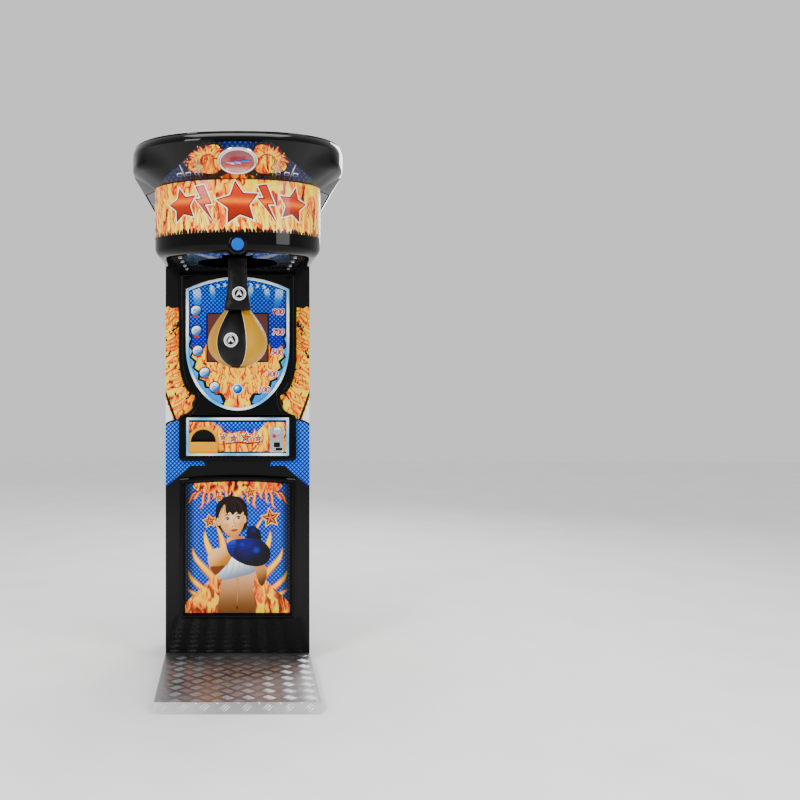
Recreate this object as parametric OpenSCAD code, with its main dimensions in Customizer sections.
// Boxing punch machine: a stepped base, an upright cabinet, an overhanging head
// and a leather speed ball on an arm that swings up into the head.
// Origin: middle of the footprint, on the floor. The front faces -Y, +Z is up.

/* [Overall] */
// Height from the floor to the top of the roof
total_h = 2200; // [1900:10:2500]
// Width over the cabinet sides, the head drum and the base
cab_w = 660; // [600:10:760]
// Distance from the middle of the footprint to the cabinet's front face
cab_front = 338; // [300:1:380]
// Depth of the cabinet
cab_depth = 304; // [270:1:340]

/* [Base] */
// Distance from the middle to the front edge of the flat step plate
base_front = 334; // [280:1:360]
// Distance from the middle to the rear edge of the base
base_rear = 730; // [700:1:800]
// Height of the folded steel base frame
frame_h = 26; // [20:1:40]
// Width of the base frame's channels
rail_w = 40; // [30:1:60]
// Sheet thickness of the base frame
rail_t = 2.5; // [1.5:0.1:4]
// Height of the rubber feet
foot_h = 4; // [2:0.5:8]
// Thickness of the tread plate
plate_t = 3; // [2:0.5:6]
// Horizontal run of the folded entry lip
ramp_run = 44; // [30:1:70]

/* [Cabinet] */
// Thickness of the side panels
panel_t = 15; // [10:0.5:22]
// Thickness of the front and rear panels
sheet_t = 12; // [8:0.5:18]
// Leg of the front corner trims
trim_front = 14; // [10:1:25]
// Leg of the rear corner trims
trim_rear = 30; // [20:1:45]
// Sheet thickness of the corner trims
trim_t = 1.5; // [1:0.1:3]
// Width of the mast posts and head beams
post_w = 40; // [30:1:50]
// Depth of the mast posts, and height of the head beams
post_d = 60; // [40:1:80]
// Wall of the mast tubes
post_t = 3; // [2:0.5:5]
// Height of the electronics shelf
shelf_z = 1130; // [1100:5:1180]

/* [Head] */
// Height of the drum
head_h = 271; // [240:1:320]
// Distance from the middle to where the drum's round nose starts
head_straight = 265; // [230:1:290]
// Length of the round nose
head_nose = 276; // [240:1:300]
// Wall of the drum shell
shell_t = 5; // [3:0.5:8]
// Radius of the drum's bottom edge
round_r = 38; // [20:1:50]
// Height of the unprinted lip under the printed band
lip_h = 74; // [50:1:100]
// Thickness of the printed band
wrap_t = 1.2; // [0.8:0.1:3]
// Length of the oval opening in the head's floor
recess_l = 544; // [520:1:560]
// Width of the oval opening
recess_w = 340; // [300:1:400]
// Width of the slot that the arm hangs in
slot_w = 124; // [120:1:150]

/* [Roof] */
// Height of the roof hood, lid included
roof_h = 145; // [120:1:180]
// Half width of the roof hood
roof_half = 414; // [400:1:460]
// Length of the hood's rounded front
roof_nose = 480; // [460:1:500]
// Wall of the hood
hood_t = 5; // [3:0.5:8]
// Thickness of the soffit board
soffit_t = 6; // [4:0.5:12]
// Thickness of the lid
lid_t = 4; // [2:0.5:6]
// Outer diameter of the badge on the fascia
badge_d = 148; // [100:1:180]

/* [Punch arm] */
// Distance of the pivot in front of the middle
pivot_y = 290; // [280:1:300]
// Distance of the pivot below the head's top
pivot_drop = 175; // [165:1:180]
// Side of the square arm tube
arm_sq = 40; // [30:1:44]
// Wall of the arm tube
arm_wall = 3; // [2:0.5:5]
// Distance from the pivot to the arm's lower end
arm_len = 256; // [250:1:270]
// Diameter of the pivot shaft
shaft_d = 25; // [20:1:30]
// Radial running clearance of shafts and pins
run_c = 0.05; // [0.02:0.01:0.1]
// Upper limit of the swing, in degrees
swing_deg = 88; // [80:1:88]
// Distance from the pivot to the striker pin
striker_r = 80; // [76:1:84]

/* [Ball] */
// Diameter of the ball
ball_d = 240; // [200:1:260]
// Distance from the pivot to the ball's neck
ball_neck = 268; // [265:1:280]
// Height of the ball's upper part, neck to widest circle
ball_up = 165; // [140:1:180]
// Height of the ball's lower part
ball_low = 99; // [90:1:120]

/* [Front] */
// Half width of the black display surround
bezel_half = 270; // [250:1:290]
// How far the surround stands out
bezel_out = 23; // [15:1:30]
// Half width of the shield-shaped display
shield_half = 236; // [200:1:245]
// Height of the shield's upper corners above the floor
shield_z = 1700; // [1650:5:1700]
// Width of the light frame round the display
light_w = 13; // [8:1:20]
// Half width of the score window
score_half = 137; // [100:1:150]
// Lower edge of the score window
score_z = 1372; // [1350:1:1390]
// Height of the score window
score_h = 214; // [180:1:230]
// Lower edge of the coin housing
coin_z = 915; // [900:1:930]
// Height of the coin housing
coin_h = 209; // [200:1:212]
// Lower edge of the lower cover
cover_z = 193; // [150:1:220]
// Height of the lower cover, without its arch
cover_h = 642; // [600:1:680]

/* [Buttons] */
// Diameter of the start button's cap
start_d = 48; // [40:1:56]
// Travel of the start button
start_travel = 4; // [2:0.5:6]

/* [Casters] */
// Distance of the casters from the centre plane
caster_x = 212; // [180:1:230]
// Diameter of the caster wheels
caster_d = 64; // [50:1:75]
// Height of the caster axles below the roof
caster_drop = 200; // [190:1:215]

/* [Hidden] */
half_w = cab_w/2;
cab_rear = cab_front + cab_depth;
face_y = cab_front + trim_t;          // front face of the front panel
back_y = cab_rear - trim_t;           // rear face of the rear panel
base_top = foot_h + frame_h + plate_t;
head_top = total_h - roof_h;
head_bottom = head_top - head_h;
lip_top = head_bottom + lip_h;
pivot_z = head_top - pivot_drop;
inner_w = half_w - trim_t - panel_t;  // inner face of a side panel
beam_z = head_top - post_d;           // underside of the head's beams
brace_z = base_top + 260;             // lower cross tube, above the cash box
post_y = cab_front + 102;             // front face of the posts
gap = 0.3;                            // seat gap between pieces that only rest on each other
recess_y = 7;                         // middle of the oval opening
slot_front = -372;                    // front end of the arm slot
shaft_r = shaft_d/2;
hanger_x = 62;                        // inner face of a pivot hanger
hanger_t = 18;
bearing_r = 21;
stop_y = -pivot_y + 70;               // the bumper meets the arm here
latch_y = -pivot_y + 115;             // pivot of the latch hook
latch_z = pivot_z + 82;
latch_deg = 15;                       // the hook hangs released by this angle
tail_l = 24;                          // pivot of the hook to its plunger pin
hook_x = 40;                          // inner face of the hook
hook_t = 6;
tail_y = latch_y - tail_l*sin(latch_deg);
tail_z = latch_z + tail_l*cos(latch_deg);
bracket_x = 61;
door_half = 190;                      // half width of the door opening
door_z = 60;
door_h = 890;
hinge_y = back_y + 5;
hinge_x = -door_half - 2;
hinge_zs = [door_z + 120, door_z + door_h - 170];
lock_x = door_half - 30;
lock_z = door_z + door_h/2;
cup_x = -156;                         // middle of the return cup
cup_z = coin_z + 88;                  // spring line of the cup's round top
cup_r = 57;
plate_x = 179;                        // middle of the coin plate
plate_z = coin_z + 98;
axle_z = total_h - caster_drop;
axle_y = base_rear - caster_d/2;
start_z = head_bottom + 28;
start_y = -head_straight - head_nose;
cash_z = base_top + 100;              // top of the cash box
inlet_x = 250;
inlet_z = 110;

// ---- helpers ----

// a box from its lowest to its highest corner
module block(a, b) { translate(a) cube(b - a); }
// a shape drawn in Y and Z, pulled from x0 to x1
module along_x(x0, x1) { translate([x0, 0, 0]) rotate([90, 0, 90]) linear_extrude(x1 - x0) children(); }
// a shape drawn in X and Z, pulled from y0 to y1
module along_y(y0, y1) { translate([0, y1, 0]) rotate([90, 0, 0]) linear_extrude(y1 - y0) children(); }
// round bars along each axis
module rod_x(r, x0, x1, y, z, fn = 48) { translate([x0, y, z]) rotate([0, 90, 0]) cylinder(r = r, h = x1 - x0, $fn = fn); }
module rod_y(r, y0, y1, x, z, fn = 48) { translate([x, y1, z]) rotate([90, 0, 0]) cylinder(r = r, h = y1 - y0, $fn = fn); }
module rod_z(r, z0, z1, x, y, fn = 48) { translate([x, y, z0]) cylinder(r = r, h = z1 - z0, $fn = fn); }
module both_sides() { children(); mirror([1, 0, 0]) children(); }

// a rectangle with round corners, from its low to its high corner
module round_rect(a, b, r) {
    translate([a[0] + r, a[1]]) square([b[0] - a[0] - 2*r, b[1] - a[1]]);
    translate([a[0], a[1] + r]) square([b[0] - a[0], b[1] - a[1] - 2*r]);
    for (x = [a[0] + r, b[0] - r], y = [a[1] + r, b[1] - r]) translate([x, y]) circle(r = r, $fn = 32);
}

// plan of the drum: straight sides and a half-ellipse nose
function drum_pts(inset, back) = concat([[half_w - inset, back]],
    [for (i = [0:32]) let (a = 180*i/32)
        [(half_w - inset)*cos(a), -head_straight - (head_nose - inset)*sin(a)]],
    [[inset - half_w, back]]);
module drum_slab(inset, z0, z1, back = cab_front) {
    translate([0, 0, z0]) linear_extrude(z1 - z0) polygon(drum_pts(inset, back));
}
// the drum with its rounded bottom edge
module drum_solid(inset, bottom, top, back) {
    drum_slab(inset, bottom + round_r, top, back);
    hull() for (a = [0:22.5:90]) let (z = bottom + round_r*(1 - sin(a)))
        drum_slab(inset + round_r*(1 - cos(a)), z, z + slice_t, back);
}

// plan of the hood: straight sides and a superellipse front
function hood_pts(a, b, back) = concat([[a, back]],
    [for (i = [0:32]) let (t = 180*i/32, c = cos(t))
        [sign(c)*a*pow(abs(c), 0.83), -250 - b*pow(sin(t), 0.83)]],
    [[-a, back]]);
// plan of the hood's lower edge, which meets the drum's nose
function foot_pts(inset, back) = concat([[half_w + 50 - inset, back], [half_w + 50 - inset, -150]],
    [for (i = [0:32]) let (a = 180*i/32)
        [(half_w - inset)*cos(a), -head_straight - (head_nose - inset)*sin(a)]],
    [[inset - half_w - 50, -150], [inset - half_w - 50, back]]);
slice_t = 0.5;
module plan_slice(pts, z) { translate([0, 0, z]) linear_extrude(slice_t) polygon(pts); }
// the hood's solid shape: lower edge, rim, widest line, rounded top edge
module hood_solid(t, z_low, z_high) {
    hull() {
        plan_slice(foot_pts(t, cab_rear + 15 - t), z_low);
        intersection() {
            plan_slice(hood_pts(roof_half - t, roof_nose - t, cab_rear + 21 - t), head_top + 55);
            block([-roof_half, -500, head_top], [roof_half, base_rear, head_top + 60]);
        }
        plan_slice(hood_pts(roof_half - t, roof_nose - t, cab_rear + 29 - t), head_top + 110);
        plan_slice(hood_pts(roof_half - 3 - t, roof_nose - 10 - t, cab_rear + 32 - t), head_top + 128);
        plan_slice(hood_pts(roof_half - 8 - t, roof_nose - 26 - t, cab_rear + 34 - t), z_high - slice_t);
    }
}

// shield shape of the display: arched top, straight sides, round tip
function shield_pts(s) = let (w = shield_half - s, zt = shield_z - s, zs = shield_z - 270, zb = 285 - s) concat(
    [for (i = [-8:8]) let (x = w*i/8) [x, zt + 57*(1 - pow(i/8, 2))]],
    [for (i = [0:24]) let (a = 180*i/24) [w*cos(a), zs - zb*sin(a)]]);

// plan of the surround's outer edge, right half from the top down
function bezel_half_pts() = concat(
    [[bezel_half - 12, head_bottom - 4], [bezel_half, head_bottom - 16]],
    [for (i = [0:8]) let (a = 90*i/8)
        [bezel_half - 74*(1 - cos(a)), shield_z - 300 - 185*sin(a)]],
    [for (i = [0:6]) let (a = 90*i/6)
        [bezel_half - 74 + 72*(1 - cos(a)), shield_z - 505 - (shield_z - 505 - coin_z - coin_h)*sin(a)]]);
module bezel_plan() {
    p = bezel_half_pts();
    polygon(concat(p, [for (i = [len(p) - 1:-1:0]) [-p[i][0], p[i][1]]]));
}

// a pan-head screw along +Z, its head's seat at the origin
module pan_screw(head_r, head_h, shank_r, shank_l) {
    translate([0, 0, -shank_l]) cylinder(r = shank_r, h = shank_l + 0.5, $fn = 24);
    cylinder(r = head_r, h = head_h*0.5, $fn = 32);
    translate([0, 0, head_h*0.5]) cylinder(r1 = head_r, r2 = head_r*0.6, h = head_h*0.5, $fn = 32);
}

// ---- base ----

// every channel of the base frame, narrowed by t and open below when t > 0
module base_rails(t, z0, z1) {
    for (x = [-half_w, half_w - rail_w]) block([x + t, -base_front + t, z0], [x + rail_w - t, base_rear - t, z1]);
    for (y = [-base_front, -rail_w/2, cab_front, cab_rear - rail_w, base_rear - rail_w])
        block([-half_w + t, y + t, z0], [half_w - t, y + rail_w - t, z1]);
}
module base_frame() {
    color([0.03, 0.03, 0.035]) difference() {
        base_rails(0, foot_h, foot_h + frame_h);
        base_rails(rail_t, foot_h - 1, foot_h + frame_h - rail_t);
    }
}
screw_xy = [for (x = [-half_w + 20, half_w - 20], y = [-base_front + 20, -base_front/3, base_rear - 20]) [x, y]];
module base_plate() {
    z = base_top;
    color([0.66, 0.67, 0.68]) difference() {
        union() {
            block([-half_w, -base_front, z - plate_t], [half_w, base_rear, z]);
            along_x(-half_w, half_w) polygon([[-base_front, z], [-base_front, z - plate_t],
                [-base_front - ramp_run + plate_t*1.4, 0], [-base_front - ramp_run, 0]]);
        }
        for (p = screw_xy) rod_z(3.1, z - plate_t - 1, z + 1, p[0], p[1], 24);
    }
}
module base_feet() {
    color([0.05, 0.05, 0.05]) for (x = [-half_w + 25, half_w - 25], y = [-base_front + 30, cab_front - 120, base_rear - 30])
        rod_z(23, 0, foot_h, x, y);
}
module base_screws() {
    color([0.75, 0.75, 0.76]) for (p = screw_xy) translate([p[0], p[1], base_top]) pan_screw(7, 2, 3, plate_t);
}

// ---- cabinet ----

// the mast and the head's beams, shrunk by t for their hollows
module mast_tubes(t, open_end) {
    both_sides() {
        block([inner_w - gap - post_w + t, post_y + t, base_top - open_end],
            [inner_w - gap - t, post_y + post_d - t, head_top - t]);
        block([inner_w - gap - post_w + t, -pivot_y - 30 + t, beam_z + t],
            [inner_w - gap - t, post_y + post_d - t, head_top - t]);
    }
    w = inner_w - gap - post_w + 2*t;
    for (c = [[-pivot_y - 30, 60], [stop_y - 20, 40], [post_y, post_d]])
        block([-w, c[0] + t, beam_z + t], [w, c[0] + c[1] - t, head_top - t]);
    block([-w, post_y + t, brace_z + t], [w, post_y + post_d - t, brace_z + 40 - t]);
}
module mast_frame() {
    color([0.12, 0.12, 0.13]) difference() {
        mast_tubes(0, 0);
        mast_tubes(post_t, 1);
    }
}
module side_panel(side) {
    color([0.02, 0.02, 0.02]) mirror([side < 0 ? 1 : 0, 0, 0])
        block([inner_w, face_y, base_top], [inner_w + panel_t, back_y, head_top]);
}
module side_panel_left() { side_panel(-1); }
module side_panel_right() { side_panel(1); }
module cup_hole(c) {
    r = cup_r + 4 + c;
    translate([cup_x, cup_z]) {
        intersection() { circle(r = r, $fn = 48); translate([-r, 0]) square([2*r, r]); }
        translate([-r, coin_z + 38 - c - cup_z]) square([2*r, cup_z - coin_z - 38 + c]);
    }
}
module mech_hole(c) { translate([plate_x - 20 - c, plate_z - 50 - c]) square([40 + 2*c, 100 + 2*c]); }
module score_hole(c) { translate([-score_half - c, score_z - c]) square([2*(score_half + c), score_h + 2*c]); }
module front_panel() {
    color([0.02, 0.02, 0.02]) difference() {
        block([-inner_w + gap, face_y, base_top], [inner_w - gap, face_y + sheet_t, head_top]);
        along_y(face_y - 1, face_y + sheet_t + 1) { cup_hole(1); mech_hole(1); score_hole(6); }
        both_sides() block([inner_w - 2*gap - post_w, face_y - 1, beam_z - gap], [inner_w, face_y + sheet_t + 1, head_top + 1]);
    }
}
module rear_panel() {
    color([0.05, 0.05, 0.055]) difference() {
        block([-inner_w + gap, back_y - sheet_t, base_top], [inner_w - gap, back_y, head_top]);
        block([-door_half, back_y - sheet_t - 1, door_z], [door_half, back_y + 1, door_z + door_h]);
        block([inlet_x - 22, back_y - sheet_t - 1, inlet_z - 2], [inlet_x + 22, back_y + 1, inlet_z + 62]);
        for (i = [0:5], x = [-1, 1]) block([x*100 - 50, back_y - sheet_t - 1, 1300 + 25*i],
            [x*100 + 50, back_y + 1, 1308 + 25*i]);
    }
}
module shelf() {
    color([0.55, 0.42, 0.28]) difference() {
        block([-inner_w + gap, face_y + sheet_t + gap, shelf_z], [inner_w - gap, back_y - sheet_t - gap, shelf_z + 12]);
        both_sides() block([inner_w - post_w - 1, post_y - gap, shelf_z - 1], [inner_w + 1, post_y + post_d + gap, shelf_z + 13]);
    }
}
// an angle trim in the corner at +X, its legs l long; dir is 1 at the front and -1 at the rear
module trim_angle(y, dir, l) {
    y1 = y + dir*l;
    y2 = y + dir*trim_t;
    block([half_w - trim_t, min(y, y1), base_top], [half_w, max(y, y1), head_top]);
    block([half_w - l, min(y, y2), base_top], [half_w, max(y, y2), head_top]);
}
module front_trims() {
    color([0.62, 0.61, 0.59]) both_sides() difference() {
        trim_angle(cab_front, 1, trim_front);
        block([half_w - trim_front - 1, cab_front - 1, head_bottom], [half_w + 1, face_y, head_top + 1]);
    }
}
trim_screw_zs = [for (i = [0:4]) base_top + 60 + i*460];
module rear_trims() {
    color([0.62, 0.61, 0.59]) both_sides() difference() {
        trim_angle(cab_rear, -1, trim_rear);
        for (z = trim_screw_zs) rod_x(2.1, half_w - trim_t - 1, half_w + 1, cab_rear - 12, z, 24);
    }
}
floor_screw_xy = [for (x = [-230, 230], y = [-260, -80, 120, 290]) [x, y]];
module panel_screws() {
    color([0.8, 0.8, 0.8]) {
        both_sides() for (z = trim_screw_zs) translate([half_w, cab_rear - 12, z]) rotate([0, 90, 0])
            pan_screw(4.5, 2, 2, trim_t);
        for (p = floor_screw_xy) translate([p[0], p[1], head_bottom + shell_t]) rotate([180, 0, 0])
            pan_screw(8, 5, 2.5, 4);
    }
}

// ---- display ----

module display_bezel() {
    color([0.015, 0.015, 0.02]) along_y(face_y - bezel_out, face_y) difference() {
        bezel_plan();
        polygon(shield_pts(-gap));
    }
}
module display_frame() {
    color([0.6, 0.82, 0.95]) along_y(face_y - bezel_out + 3, face_y) difference() {
        polygon(shield_pts(0));
        polygon(shield_pts(light_w));
    }
}
module display_panel() {
    color([0.12, 0.5, 0.85]) along_y(face_y - 8, face_y - 4) difference() {
        polygon(shield_pts(light_w + gap));
        score_hole(gap);
    }
}
module score_window() { color([0.35, 0.03, 0.03, 0.8]) along_y(face_y - 8, face_y - 4) score_hole(0); }
module score_board() {
    color([0.1, 0.35, 0.15]) {
        block([-score_half - 4, face_y + 2, score_z - 4], [score_half + 4, face_y + 4, score_z + score_h + 4]);
        for (i = [-1:1]) block([80*i - 36, face_y - 4 + gap, score_z + 30], [80*i + 36, face_y + 2.5, score_z + score_h - 30]);
        for (x = [-1, 1], z = [0, score_h]) rod_y(3, face_y + 3, face_y + sheet_t + 3, x*(score_half - 4), score_z + z, 24);
        for (z = [0, score_h]) block([-score_half - 16, face_y + sheet_t, score_z + z - 6],
            [score_half + 16, face_y + sheet_t + 3, score_z + z + 6]);
    }
}

// ---- coin panel ----

coin_top = coin_z + coin_h;
module coin_housing() {
    color([0.015, 0.015, 0.02]) difference() {
        along_y(face_y - 29, face_y) round_rect([-bezel_half + 2, coin_z], [bezel_half - 2, coin_top - gap], 18);
        along_y(face_y - 30, face_y - 24) square_pocket();
        along_y(face_y - 19, face_y + 1) round_rect([-bezel_half + 7, coin_z + 5], [bezel_half - 7, coin_top - 6], 10);
        along_y(face_y - 30, face_y + 1) { cup_hole(0.5); mech_hole(0.5); }
    }
}
module square_pocket() { translate([-234, coin_z + 25]) square([468, coin_h - 35]); }
module coin_frame() {
    color([0.6, 0.82, 0.95]) along_y(face_y - 31, face_y - 24 - gap) difference() {
        translate([-234 + gap, coin_z + 25 + gap]) square([468 - 2*gap, coin_h - 35 - 2*gap]);
        translate([-222, coin_z + 37]) square([444, coin_h - 59]);
    }
}
module return_cup() {
    z0 = coin_z + 37 + gap;
    color([0.95, 0.73, 0.06]) difference() {
        union() {
            along_y(face_y - 31, face_y - 24 - gap) intersection() {
                union() { translate([cup_x, cup_z]) circle(r = 70, $fn = 64);
                    round_rect([cup_x - 66, z0], [cup_x + 66, cup_z + 10], 12); }
                translate([-222 + gap, z0]) square([400, coin_h - 59 - 2*gap]);
            }
            along_y(face_y - 26, face_y + 36) cup_hole(0);
            along_x(cup_x - 64, cup_x + 64) polygon([[face_y - 30, cup_z + 2], [face_y - 60, cup_z + 2], [face_y - 63, cup_z - 8],
                [face_y - 48, z0 + 8], [face_y - 40, z0], [face_y - 30, z0]]);
        }
        along_y(face_y - 32, face_y + 32) intersection() {
            cup_hole(-4);
            translate([cup_x - 80, z0 + 12]) square(160);
        }
        along_x(cup_x - 58, cup_x + 58) polygon([[face_y - 20, cup_z + 3], [face_y - 56, cup_z + 3], [face_y - 58, cup_z - 8],
            [face_y - 44, z0 + 12], [face_y - 20, z0 + 12]]);
    }
}
reject_x = plate_x - 12;
reject_z = plate_z + 16;
module coin_plate() {
    color([0.7, 0.7, 0.7]) difference() {
        along_y(face_y - 29, face_y - 24 - gap) round_rect([plate_x - 31, plate_z - 58], [plate_x + 31, plate_z + 58], 4);
        block([plate_x + 4, face_y - 40, plate_z + 18], [plate_x + 7.5, face_y, plate_z + 48]);
        rod_y(8.3, face_y - 40, face_y, reject_x, reject_z);
        block([plate_x - 14, face_y - 40, plate_z - 34], [plate_x + 14, face_y, plate_z - 12]);
    }
}
module reject_button() {
    color([0.8, 0.1, 0.08]) {
        rod_y(8, face_y - 36, face_y - 22, reject_x, reject_z);
        rod_y(4, face_y - 23, face_y - 13, reject_x, reject_z, 32);
    }
}
module coin_mechanism() {
    color([0.2, 0.2, 0.21]) difference() {
        block([plate_x - 19, face_y - 24, plate_z - 49], [plate_x + 19, face_y + 66, plate_z + 49]);
        block([plate_x + 3, face_y - 25, plate_z - 60], [plate_x + 8.5, face_y + 50, plate_z + 48.5]);
        rod_y(9, face_y - 25, face_y - 6, reject_x, reject_z);
        block([plate_x - 14, face_y - 25, plate_z - 34], [plate_x + 2, face_y - 10, plate_z - 12]);
        block([plate_x + 2.9, face_y + 22, plate_z - 50], [plate_x + 8.6, face_y + 51, plate_z + 40]);
    }
}
module coin_chute() {
    color([0.6, 0.6, 0.6]) difference() {
        block([plate_x - 12, face_y + 20, cash_z + 6], [plate_x + 18, face_y + 62, plate_z - 49 - gap]);
        block([plate_x - 10, face_y + 22, cash_z], [plate_x + 16, face_y + 60, plate_z]);
    }
}
module cash_box() {
    color([0.45, 0.46, 0.48]) difference() {
        block([60, face_y + sheet_t + 4, base_top], [250, post_y - 4 + 70, cash_z]);
        block([62, face_y + sheet_t + 6, base_top + 2], [248, post_y - 6 + 70, cash_z + 1]);
    }
}

// ---- lower cover ----

function cover_pts(s) = let (w = 267 - s, z0 = cover_z + s, z1 = cover_z + cover_h - s) concat(
    [[-w, z0 + 14], [-w + 14, z0], [w - 14, z0], [w, z0 + 14]],
    [for (i = [12:-1:-12]) [w*i/12, z1 + 14*(1 - pow(i/12, 2))]]);
module lower_cover() {
    color([0.015, 0.015, 0.02]) difference() {
        along_y(face_y - 29, face_y) polygon(cover_pts(0));
        along_y(face_y - 30, face_y - 16) polygon(cover_pts(24));
        along_y(face_y - 12, face_y + 1) polygon(cover_pts(8));
    }
}

// ---- head ----

module head_shell() {
    color([0.015, 0.015, 0.02]) difference() {
        drum_solid(wrap_t, head_bottom, head_top, cab_front);
        drum_solid(wrap_t + shell_t, head_bottom + shell_t, head_top + 1, cab_front + 5);
        drum_slab(62, head_bottom - 1, head_bottom + shell_t + 1, cab_front + 5);
        rod_y(29.5, start_y - 20, start_y + 40, 0, start_z);
    }
}
module head_wrap() {
    color([0.95, 0.6, 0.1]) difference() {
        drum_slab(0, lip_top, head_top);
        drum_slab(wrap_t, lip_top - 1, head_top + 1, cab_front + 5);
    }
}
module keyhole() {
    polygon([for (i = [0:47]) [recess_w/2*cos(7.5*i), recess_y + recess_l/2*sin(7.5*i)]]);
    translate([-slot_w/2, slot_front]) square([slot_w, 222]);
}
module head_floor() {
    z = head_bottom + shell_t;
    color([0.3, 0.3, 0.3]) difference() {
        drum_slab(wrap_t + shell_t + round_r + 1, z, z + 4, cab_front - gap);
        translate([0, 0, z - 1]) linear_extrude(6) keyhole();
        for (p = floor_screw_xy) rod_z(2.6, z - 1, z + 5, p[0], p[1], 24);
    }
}
module roof_soffit() {
    color([0.12, 0.12, 0.12]) translate([0, 0, head_top]) linear_extrude(soffit_t)
        polygon(foot_pts(hood_t + 1, cab_rear + 15 - hood_t - 1));
}
module visor_hood() {
    color([0.015, 0.015, 0.02]) {
        difference() {
            hood_solid(0, head_top, total_h - lid_t);
            hood_solid(hood_t, head_top - 1, total_h - lid_t + 1);
        }
        along_x(-half_w, half_w) polygon([[cab_rear + gap, head_top], [cab_rear + 15 - hood_t/2, head_top],
            [cab_rear + 15 - hood_t/2, head_top + 2], [cab_rear + 14, head_top + 2], [cab_rear + 14, head_top - 1],
            [cab_rear + gap, head_top - 18]]);
    }
}
module roof_panel() {
    color([0.02, 0.02, 0.02]) translate([0, 0, total_h - lid_t]) linear_extrude(lid_t)
        polygon(hood_pts(roof_half - 8, roof_nose - 26, cab_rear + 34));
}
// the badge's frame: on the middle of the sloping fascia, facing out of it
fascia_run = roof_nose + 250 - head_straight - head_nose;
fascia_deg = atan2(110, fascia_run);
module on_fascia() {
    translate([0, start_y - fascia_run/2, head_top + 55]) rotate([180 - fascia_deg, 0, 0]) children();
}
module badge_ring() {
    color([0.85, 0.86, 0.88]) on_fascia() translate([0, 0, gap]) rotate_extrude($fn = 64)
        polygon([[badge_d/2 - 13, 0], [badge_d/2, 0], [badge_d/2 - 2, 7], [badge_d/2 - 6, 9], [badge_d/2 - 13, 6]]);
}
module badge_face() {
    color([0.6, 0.06, 0.08]) on_fascia() translate([0, 0, gap]) rotate_extrude($fn = 64)
        polygon([[0, 0], [badge_d/2 - 13 - gap, 0], [badge_d/2 - 13 - gap, 4], [badge_d/3, 8], [badge_d/6, 11], [0, 12]]);
}
module button_bezel() {
    r = start_d/2;
    color([0.02, 0.02, 0.02]) difference() {
        union() {
            rod_y(r + 13, start_y - 9, start_y + 1, 0, start_z, 64);
            rod_y(29, start_y, start_y + 26, 0, start_z, 64);
        }
        rod_y(r + gap, start_y - 10, start_y + 2, 0, start_z, 64);
        rod_y(r - 14 + gap, start_y - 10, start_y + 27, 0, start_z);
    }
}
module start_button() {
    r = start_d/2;
    color([0.1, 0.45, 0.85]) {
        rod_y(r, start_y - 12, start_y + 1.6 - start_travel, 0, start_z, 64);
        rod_y(r - 14, start_y - 4, start_y + 18, 0, start_z);
    }
}

// ---- punch arm ----

module pivot_hangers() {
    color([0.25, 0.25, 0.26]) both_sides() difference() {
        block([hanger_x, -pivot_y - 30, pivot_z - 30], [hanger_x + hanger_t, -pivot_y + 30, beam_z]);
        rod_x(bearing_r, hanger_x - 1, hanger_x + hanger_t + 1, -pivot_y, pivot_z);
    }
}
module bearings() {
    color([0.7, 0.7, 0.72]) both_sides() difference() {
        rod_x(bearing_r - 0.01, hanger_x, hanger_x + hanger_t, -pivot_y, pivot_z);
        rod_x(shaft_r + run_c, hanger_x - 1, hanger_x + hanger_t + 1, -pivot_y, pivot_z);
    }
}
module pivot_shaft() { color([0.72, 0.72, 0.74]) rod_x(shaft_r, -108, 100, -pivot_y, pivot_z); }
arm_end = pivot_z - arm_len;
module ball_arm() {
    h = arm_sq/2;
    color([0.6, 0.6, 0.6]) {
        difference() {
            union() {
                rod_x(24, -h - 20, h + 20, -pivot_y, pivot_z);
                block([-h, -pivot_y - h, arm_end], [h, -pivot_y + h, pivot_z]);
                rod_x(6, h - 1, 50, -pivot_y, pivot_z - striker_r);
            }
            rod_x(shaft_r + 0.01, -h - 21, h + 21, -pivot_y, pivot_z);
            block([-h + arm_wall, -pivot_y - h + arm_wall, arm_end + 6],
                [h - arm_wall, -pivot_y + h - arm_wall, pivot_z - 30]);
        }
        rod_z(9, arm_end - 30, arm_end + 1, 0, -pivot_y);
    }
}
module arm_sleeve() {
    z0 = pivot_z - ball_neck + 2;
    y = -pivot_y;
    c = arm_sq/2 + gap;
    color([0.03, 0.03, 0.03]) difference() {
        along_x(-31, 31) polygon([[y - 28, z0], [y + 46, z0], [y + 55, z0 + 14], [y + 28, z0 + 98], [y + 28, z0 + 161], [y - 28, z0 + 161]]);
        block([-c, y - c, z0 - 1], [c, y + c, z0 + 162]);
    }
}
module front_pad() {
    y = -pivot_y - 28 - gap;
    z = pivot_z;
    color([0.03, 0.03, 0.03]) intersection() {
        along_x(-60, 60) polygon([[y, z - 77], [y - 26, z - 80], [y - 33, z - 90], [y - 35, z - 215], [y - 56, z - 275],
            [y - 58, z - 298], [y - 52, z - 307], [y - 40, z - 307], [y - 16, z - 277], [y, z - 264]]);
        along_y(y - 70, y + 10) polygon([[-33, z - 77], [33, z - 77], [40, z - 215], [52, z - 300], [46, z - 308], [-46, z - 308],
            [-52, z - 300], [-40, z - 215]]);
    }
}
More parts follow.
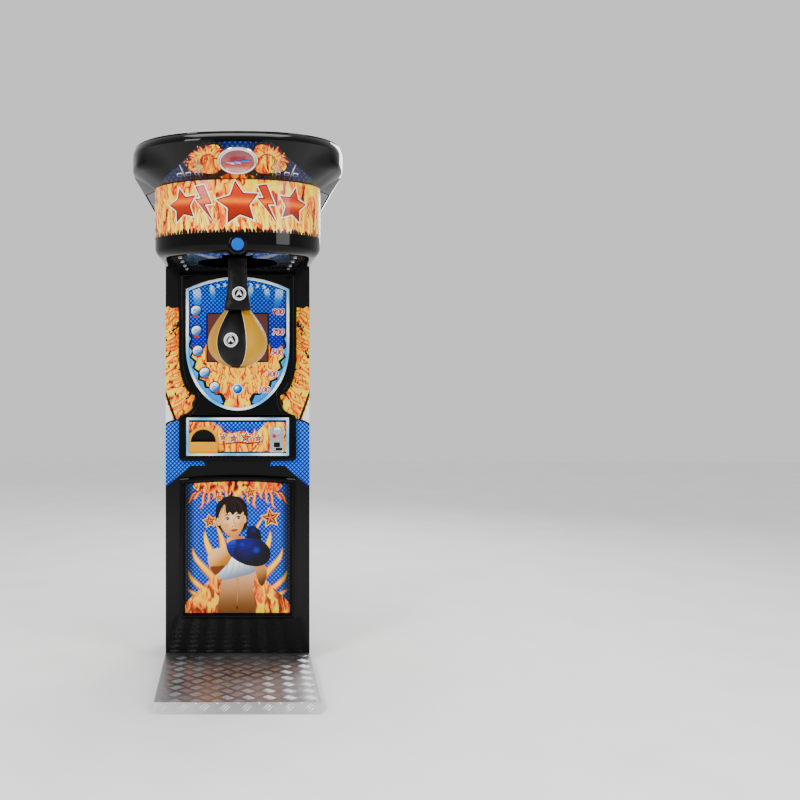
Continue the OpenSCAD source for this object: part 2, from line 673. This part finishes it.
// radius of the ball t of the way from its widest circle up to its neck
function ball_r(t) = 22 + (ball_d/2 - 22)*cos(90*pow(t, 0.9));
module punch_ball() {
    zn = pivot_z - ball_neck;
    zw = zn - ball_up;
    color([0.88, 0.63, 0.08]) translate([0, -pivot_y, 0]) {
        rotate_extrude($fn = 64) polygon(concat(
            [for (i = [0:12]) let (a = 90*i/12) [ball_d/2*sin(a), zw - ball_low*cos(a)]],
            [for (i = [1:12]) [ball_r(i/12), zw + ball_up*i/12]],
            [[9 + gap, zn], [9 + gap, zn - 22], [0, zn - 22]]));
        rod_z(4, zw - ball_low - 3, zw - ball_low + 2, 0, 0, 24);
    }
}
module sensor_disc() {
    color([0.1, 0.1, 0.1]) difference() {
        rod_x(40, -102, -99, -pivot_y, pivot_z, 64);
        rod_x(shaft_r, -103, -98, -pivot_y, pivot_z);
        for (a = [0:30:330]) translate([-100.5, -pivot_y, pivot_z]) rotate([a, 0, 0]) block([-3, -2, 28], [3, 2, 36]);
    }
}

// ---- latch ----

module latch_bracket() {
    color([0.6, 0.6, 0.62]) {
        block([bracket_x, stop_y - 20, beam_z - 45], [bracket_x + 4, latch_y + 77, beam_z - gap]);
        block([bracket_x, stop_y - 20, beam_z - 4], [bracket_x + 34, stop_y + 20, beam_z]);
        rod_x(4, hook_x - 1.5, bracket_x + 1, latch_y, latch_z);
        rod_x(7, hook_x - 3.5, hook_x - 1.5, latch_y, latch_z);
    }
}
module latch_hook() {
    color([0.7, 0.6, 0.3]) translate([0, latch_y, latch_z]) rotate([latch_deg, 0, 0]) difference() {
        union() {
            along_x(hook_x, hook_x + hook_t) {
                circle(r = 9, $fn = 48);
                translate([-6, -104]) square([12, 104 + tail_l]);
                translate([0, tail_l]) circle(r = 7, $fn = 48);
                translate([-41, -104]) square([41, 12.5]);
            }
        }
        rod_x(4 + run_c, hook_x - 1, hook_x + hook_t + 1, 0, 0);
        for (d = [-1.4, 1.4]) rod_x(2.5, hook_x - 1, hook_x + hook_t + 1, 0, tail_l + d, 32);
        block([hook_x - 1, -2.5, tail_l - 1.4], [hook_x + hook_t + 1, 2.5, tail_l + 1.4]);
    }
}
module solenoid_plunger() {
    color([0.75, 0.75, 0.76]) {
        rod_x(2.1, hook_x - 1, hook_x + hook_t + 2, tail_y, tail_z, 32);
        block([hook_x + hook_t + 1, tail_y - 6, tail_z - 6], [hook_x + hook_t + 4, tail_y + 34, tail_z + 6]);
        rod_y(5, tail_y + 30, tail_y + 72, hook_x + 9, tail_z);
    }
}
module solenoid() {
    color([0.55, 0.35, 0.15]) difference() {
        block([36, tail_y + 42, tail_z - 12], [bracket_x, tail_y + 86, tail_z + 11]);
        rod_y(5.3, tail_y + 41, tail_y + 80, hook_x + 9, tail_z);
    }
}
// the bumper meets the rear face of the raised arm
bumper_z = pivot_z - 70*cos(swing_deg) + arm_sq/2*sin(swing_deg) + 1.2;
module stop_bumper() {
    color([0.08, 0.08, 0.08]) {
        rod_z(14, bumper_z, bumper_z + 20, 0, stop_y);
        rod_z(8, bumper_z + 19, beam_z, 0, stop_y);
    }
}

// ---- electronics ----

module main_board() {
    z = shelf_z + 12;
    color([0.08, 0.35, 0.14]) {
        for (x = [-230, -50], y = [face_y + 60, face_y + 180]) rod_z(3, z, z + 9, x, y, 24);
        block([-240, face_y + 50, z + 8], [-40, face_y + 190, z + 10]);
        block([-190, face_y + 90, z + 9.5], [-150, face_y + 130, z + 14]);
        for (i = [0:4]) block([-225 + 36*i, face_y + 165, z + 9.5], [-200 + 36*i, face_y + 182, z + 22]);
        for (i = [0:3]) rod_z(6, z + 9.5, z + 30, -120 + 18*i, face_y + 75, 32);
    }
}
module power_supply() {
    z = shelf_z + 12;
    color([0.7, 0.71, 0.72]) difference() {
        block([40, face_y + 50, z], [240, face_y + 150, z + 45]);
        for (i = [0:9]) block([60 + 16*i, face_y + 49, z + 10], [67 + 16*i, face_y + 52, z + 38]);
    }
}

// ---- service door ----

door_c = 1.5;
module rear_door() {
    y0 = back_y - 10;
    color([0.05, 0.05, 0.055]) difference() {
        union() {
            block([-door_half + door_c, y0, door_z + door_c], [door_half - door_c, back_y, door_z + door_h - door_c]);
            for (z = hinge_zs) {
                block([hinge_x + 2.5, back_y - 0.5, z + 16], [hinge_x + 34, back_y + 2, z + 34]);
                rod_z(4.5, z + 16, z + 34, hinge_x, hinge_y);
            }
        }
        for (z = hinge_zs) rod_z(2 + run_c, z + 15, z + 35, hinge_x, hinge_y);
        rod_y(9.1, y0 - 1, back_y + 1, lock_x, lock_z);
    }
}
module door_hinges() {
    color([0.6, 0.6, 0.6]) for (z = hinge_zs) {
        block([hinge_x - 38, back_y, z], [hinge_x - 4, back_y + 2, z + 50]);
        for (s = [0, 34.4]) {
            block([hinge_x - 5, back_y, z + s], [hinge_x, back_y + 2, z + s + 15.6]);
            rod_z(4.5, z + s, z + s + 15.6, hinge_x, hinge_y);
        }
        rod_z(2, z, z + 50, hinge_x, hinge_y);
    }
}
module door_lock() {
    color([0.7, 0.7, 0.7]) difference() {
        union() {
            rod_y(9, back_y - 18, back_y + 1, lock_x, lock_z);
            rod_y(12, back_y + gap, back_y + 4, lock_x, lock_z);
            block([lock_x - 8, back_y - 19, lock_z - 8], [lock_x + 8, back_y - 16, lock_z + 46]);
        }
        block([lock_x - 1, back_y + 1, lock_z - 5], [lock_x + 1, back_y + 5, lock_z + 5]);
    }
}
module power_inlet() {
    color([0.04, 0.04, 0.04]) difference() {
        union() {
            block([inlet_x - 26, back_y, inlet_z - 6], [inlet_x + 26, back_y + 3, inlet_z + 66]);
            block([inlet_x - 21, back_y - 26, inlet_z - 1], [inlet_x + 21, back_y + 1, inlet_z + 61]);
        }
        block([inlet_x - 12.5, back_y - 15, inlet_z + 3], [inlet_x + 12.5, back_y + 4, inlet_z + 20]);
        block([inlet_x - 8, back_y - 18, inlet_z + 30], [inlet_x + 8, back_y + 4, inlet_z + 56]);
    }
    color([0.8, 0.7, 0.4]) for (i = [-1:1]) block([inlet_x + 7*i - 1, back_y - 15.5, inlet_z + 9], [inlet_x + 7*i + 1, back_y - 3, inlet_z + 14]);
    color([0.7, 0.7, 0.7]) rod_x(2, inlet_x - 9, inlet_x + 9, back_y - 3, inlet_z + 43, 32);
}
module power_switch() {
    color([0.7, 0.05, 0.04]) difference() {
        translate([0, back_y - 3, inlet_z + 43]) rotate([-10, 0, 0]) along_x(inlet_x - 7.5, inlet_x + 7.5)
            polygon([[-8, -3], [-8, 3], [3, 10.5], [6, 10.5], [4.5, 0], [6, -10.5], [3, -10.5]]);
        rod_x(2 + run_c, inlet_x - 10, inlet_x + 10, back_y - 3, inlet_z + 43, 32);
    }
}

// ---- casters ----

module caster_forks() {
    color([0.68, 0.7, 0.7]) both_sides() difference() {
        union() {
            block([caster_x - 30, back_y, axle_z - 36], [caster_x + 30, back_y + 4, axle_z + 34]);
            for (x = [caster_x - 18, caster_x + 15]) along_x(x, x + 3) {
                translate([back_y + 3, axle_z - 24]) square([30, 48]);
                translate([back_y + 30, axle_z - 13]) square([axle_y - back_y - 30, 26]);
                translate([axle_y, axle_z]) circle(r = 13, $fn = 48);
            }
            rod_x(5, caster_x - 22, caster_x + 22, axle_y, axle_z);
            rod_x(8, caster_x + 18, caster_x + 23, axle_y, axle_z, 6);
            rod_x(8, caster_x - 23, caster_x - 18, axle_y, axle_z, 6);
        }
    }
}
module caster_wheel(side) {
    r = caster_d/2;
    color([0.35, 0.08, 0.14]) translate([side*caster_x, axle_y, axle_z]) rotate([0, 90, 0]) rotate_extrude($fn = 64)
        polygon([[5 + run_c, -13], [9, -13], [9, -9], [r - 10, -9], [r - 8, -12], [r - 2, -12], [r, -8], [r, 8],
            [r - 2, 12], [r - 8, 12], [r - 10, 9], [9, 9], [9, 13], [5 + run_c, 13]]);
}
module caster_wheel_left() { caster_wheel(-1); }
module caster_wheel_right() { caster_wheel(1); }

base_frame();
base_plate();
base_feet();
base_screws();
mast_frame();
side_panel_left();
side_panel_right();
front_panel();
rear_panel();
shelf();
front_trims();
rear_trims();
panel_screws();
display_bezel();
display_frame();
display_panel();
score_window();
score_board();
coin_housing();
coin_frame();
return_cup();
coin_plate();
reject_button();
coin_mechanism();
coin_chute();
cash_box();
lower_cover();
head_shell();
head_wrap();
head_floor();
roof_soffit();
visor_hood();
roof_panel();
badge_ring();
badge_face();
button_bezel();
start_button();
pivot_hangers();
bearings();
pivot_shaft();
ball_arm();
arm_sleeve();
front_pad();
punch_ball();
sensor_disc();
latch_bracket();
latch_hook();
solenoid();
solenoid_plunger();
stop_bumper();
main_board();
power_supply();
rear_door();
door_hinges();
door_lock();
caster_forks();
caster_wheel_left();
caster_wheel_right();
power_inlet();
power_switch();
